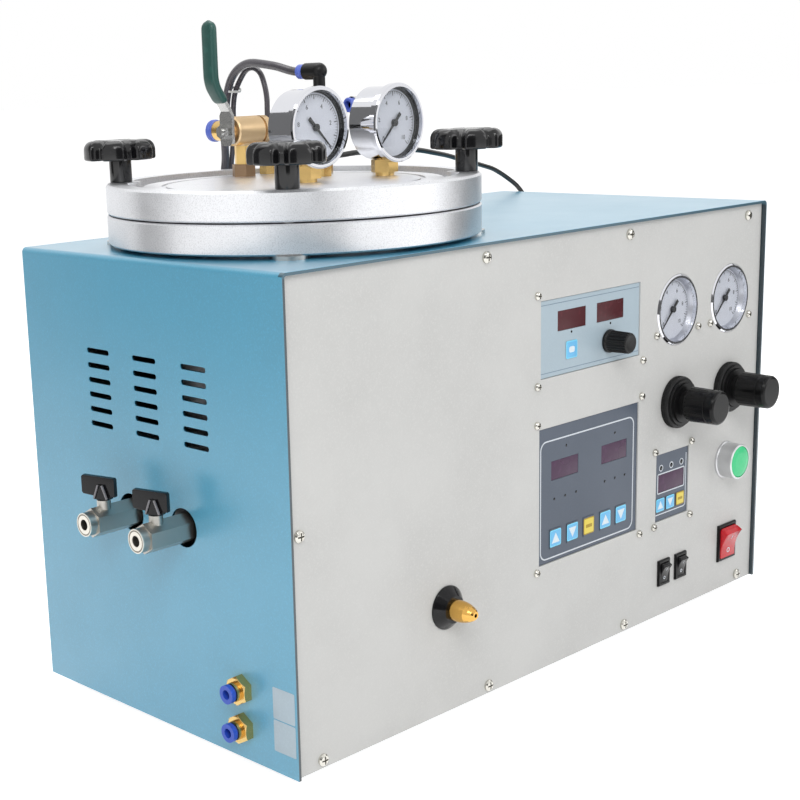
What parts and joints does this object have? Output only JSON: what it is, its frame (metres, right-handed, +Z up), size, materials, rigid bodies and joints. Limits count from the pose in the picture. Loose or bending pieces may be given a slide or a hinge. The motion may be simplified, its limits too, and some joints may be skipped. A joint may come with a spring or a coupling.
{
  "type": "automatic wax injector",
  "caption": "Bench wax injector: sheet-metal case with a heated pot under a clamped round lid, gauges, vent valve, control panel and sprung nozzle.",
  "frame": {"origin": "middle of the case footprint, on the surface under the feet", "axes": "+X along the front to the right, +Y to the back, +Z up"},
  "size_m": [0.58, 0.324, 0.465],
  "materials": {
    "cover": "fine textured paint",
    "side_left": "fine textured paint",
    "side_right": "fine textured paint",
    "front_panel": "fine textured paint",
    "chassis": "zinc plated",
    "feet": "matte",
    "panel_screws": "zinc plated",
    "pot": "satin",
    "lid_seal": "matte",
    "lid_studs": "satin",
    "lid": "bead blasted",
    "star_knob_fl": "moulded",
    "star_knob_fr": "moulded",
    "star_knob_bl": "moulded",
    "star_knob_br": "moulded",
    "lid_gauge_cases": "polished",
    "lid_gauge_dials": "printed",
    "lid_gauge_lenses": "clear",
    "lid_needle_l": "matte",
    "lid_needle_r": "matte",
    "brass_fittings": "machined",
    "vent_valve_body": "matte",
    "vent_lever": "zinc plated",
    "lever_sleeve": "dipped",
    "air_elbow": "satin",
    "vacuum_elbow": "nickel plated",
    "lid_collars": "moulded",
    "temperature_probe": "satin",
    "tube_a": "smooth",
    "tube_b": "smooth",
    "cable": "smooth",
    "cable_gland": "matte",
    "side_valves": "nickel plated",
    "side_handle_f": "moulded",
    "side_handle_b": "moulded",
    "side_fittings": "machined",
    "side_collar_u": "moulded",
    "side_collar_l": "moulded",
    "panel_gauge_cases": "satin",
    "panel_gauge_dials": "printed",
    "panel_gauge_lenses": "clear",
    "panel_needle_l": "matte",
    "panel_needle_r": "matte",
    "display_upper": "printed film",
    "display_lower": "printed film",
    "display_small": "printed film",
    "timer_knob": "moulded",
    "regulator_nuts": "moulded",
    "regulator_bodies": "moulded",
    "regulator_knob_l": "moulded",
    "regulator_knob_r": "moulded",
    "start_ring": "brushed",
    "start_cap": "moulded",
    "switch_bezels": "moulded",
    "power_rocker": "translucent",
    "mode_rocker_l": "moulded",
    "mode_rocker_r": "moulded",
    "nozzle_flange": "turned",
    "nozzle_tip": "polished",
    "air_manifold": "milled"
  },
  "bodies": {
    "case": {"cover": "cover", "side_left": "side_left", "side_right": "side_right", "front_panel": "front_panel", "chassis": "chassis", "feet": "feet", "panel_screws": "panel_screws", "pot": "pot", "lid_seal": "lid_seal", "lid_studs": "lid_studs", "tube_a": "tube_a", "tube_b": "tube_b", "cable": "cable", "cable_gland": "cable_gland", "side_valves": "side_valves", "side_fittings": "side_fittings", "panel_gauge_cases": "panel_gauge_cases", "panel_gauge_dials": "panel_gauge_dials", "panel_gauge_lenses": "panel_gauge_lenses", "display_upper": "display_upper", "display_lower": "display_lower", "display_small": "display_small", "regulator_nuts": "regulator_nuts", "regulator_bodies": "regulator_bodies", "start_ring": "start_ring", "switch_bezels": "switch_bezels", "nozzle_flange": "nozzle_flange", "air_manifold": "air_manifold"},
    "lid": {"lid": "lid", "lid_gauge_cases": "lid_gauge_cases", "lid_gauge_dials": "lid_gauge_dials", "lid_gauge_lenses": "lid_gauge_lenses", "brass_fittings": "brass_fittings", "vent_valve_body": "vent_valve_body", "air_elbow": "air_elbow", "vacuum_elbow": "vacuum_elbow", "lid_collars": "lid_collars", "temperature_probe": "temperature_probe"},
    "lever": {"vent_lever": "vent_lever", "lever_sleeve": "lever_sleeve"},
    "star_knob_fl": {"star_knob_fl": "star_knob_fl"},
    "star_knob_fr": {"star_knob_fr": "star_knob_fr"},
    "star_knob_bl": {"star_knob_bl": "star_knob_bl"},
    "star_knob_br": {"star_knob_br": "star_knob_br"},
    "lid_needle_l": {"lid_needle_l": "lid_needle_l"},
    "lid_needle_r": {"lid_needle_r": "lid_needle_r"},
    "side_handle_f": {"side_handle_f": "side_handle_f"},
    "side_handle_b": {"side_handle_b": "side_handle_b"},
    "side_collar_u": {"side_collar_u": "side_collar_u"},
    "side_collar_l": {"side_collar_l": "side_collar_l"},
    "panel_needle_l": {"panel_needle_l": "panel_needle_l"},
    "panel_needle_r": {"panel_needle_r": "panel_needle_r"},
    "timer_knob": {"timer_knob": "timer_knob"},
    "regulator_knob_l": {"regulator_knob_l": "regulator_knob_l"},
    "regulator_knob_r": {"regulator_knob_r": "regulator_knob_r"},
    "start_cap": {"start_cap": "start_cap"},
    "power_rocker": {"power_rocker": "power_rocker"},
    "mode_rocker_l": {"mode_rocker_l": "mode_rocker_l"},
    "mode_rocker_r": {"mode_rocker_r": "mode_rocker_r"},
    "nozzle_tip": {"nozzle_tip": "nozzle_tip"}
  },
  "joints": [
    {"name": "lid_lift", "type": "slide", "parent": "case", "child": "lid", "axis": [0, 0, 1], "range_m": [0, 0.08], "deforming": ["tube_a", "tube_b", "cable"]},
    {"name": "knob_turn_fl", "type": "hinge", "parent": "lid", "child": "star_knob_fl", "pos_m": [-0.20852, -0.08202, 0.3745], "axis": [0, 0, 1], "continuous": true},
    {"name": "knob_turn_fr", "type": "hinge", "parent": "lid", "child": "star_knob_fr", "pos_m": [-0.04448, -0.08202, 0.3745], "axis": [0, 0, 1], "continuous": true},
    {"name": "knob_turn_bl", "type": "hinge", "parent": "lid", "child": "star_knob_bl", "pos_m": [-0.20852, 0.08202, 0.3745], "axis": [0, 0, 1], "continuous": true},
    {"name": "knob_turn_br", "type": "hinge", "parent": "lid", "child": "star_knob_br", "pos_m": [-0.04448, 0.08202, 0.3745], "axis": [0, 0, 1], "continuous": true},
    {"name": "vent_open", "type": "hinge", "parent": "lid", "child": "lever", "pos_m": [-0.1154, 0.077, 0.3885], "axis": [1, 0, 0], "range_deg": [0, 90]},
    {"name": "lid_gauge_l", "type": "hinge", "parent": "lid", "child": "lid_needle_l", "pos_m": [-0.131, -0.028, 0.392], "axis": [0, -1, 0], "range_deg": [0, 270]},
    {"name": "lid_gauge_r", "type": "hinge", "parent": "lid", "child": "lid_needle_r", "pos_m": [-0.061, -0.03249, 0.392], "axis": [-0.0523, 0.9986, 0], "range_deg": [0, 270]},
    {"name": "side_valve_f", "type": "hinge", "parent": "case", "child": "side_handle_f", "pos_m": [-0.2815, -0.031, 0.17], "axis": [0, 0, 1], "range_deg": [-22, 68]},
    {"name": "side_valve_b", "type": "hinge", "parent": "case", "child": "side_handle_b", "pos_m": [-0.2815, 0.023, 0.17], "axis": [0, 0, 1], "range_deg": [-22, 68]},
    {"name": "collar_press_u", "type": "slide", "parent": "case", "child": "side_collar_u", "axis": [1, 0, 0], "range_m": [0, 0.001], "stiffness_N_per_m": 800},
    {"name": "collar_press_l", "type": "slide", "parent": "case", "child": "side_collar_l", "axis": [1, 0, 0], "range_m": [0, 0.001], "stiffness_N_per_m": 800},
    {"name": "panel_gauge_l", "type": "hinge", "parent": "case", "child": "panel_needle_l", "pos_m": [0.1425, -0.122, 0.246], "axis": [0, 1, 0], "range_deg": [0, 270]},
    {"name": "panel_gauge_r", "type": "hinge", "parent": "case", "child": "panel_needle_r", "pos_m": [0.2145, -0.122, 0.246], "axis": [0, 1, 0], "range_deg": [0, 270]},
    {"name": "timer_turn", "type": "hinge", "parent": "case", "child": "timer_knob", "pos_m": [0.0567, -0.135, 0.2346], "axis": [0, 1, 0], "range_deg": [-150, 150]},
    {"name": "regulator_turn_l", "type": "hinge", "parent": "case", "child": "regulator_knob_l", "pos_m": [0.1425, -0.15, 0.176], "axis": [0, 1, 0], "continuous": true},
    {"name": "regulator_turn_r", "type": "hinge", "parent": "case", "child": "regulator_knob_r", "pos_m": [0.2145, -0.15, 0.176], "axis": [0, 1, 0], "continuous": true},
    {"name": "start_press", "type": "slide", "parent": "case", "child": "start_cap", "axis": [0, 1, 0], "range_m": [0, 0.004], "stiffness_N_per_m": 600},
    {"name": "power_switch", "type": "hinge", "parent": "case", "child": "power_rocker", "pos_m": [0.2195, -0.127, 0.048], "axis": [-1, 0, 0], "range_deg": [0, 32]},
    {"name": "mode_l_switch", "type": "hinge", "parent": "case", "child": "mode_rocker_l", "pos_m": [0.1303, -0.127, 0.0442], "axis": [-1, 0, 0], "range_deg": [0, 32]},
    {"name": "mode_r_switch", "type": "hinge", "parent": "case", "child": "mode_rocker_r", "pos_m": [0.1533, -0.127, 0.0442], "axis": [-1, 0, 0], "range_deg": [0, 32]},
    {"name": "nozzle_press", "type": "slide", "parent": "case", "child": "nozzle_tip", "axis": [0, 1, 0], "range_m": [0, 0.004], "stiffness_N_per_m": 2500}
  ]
}
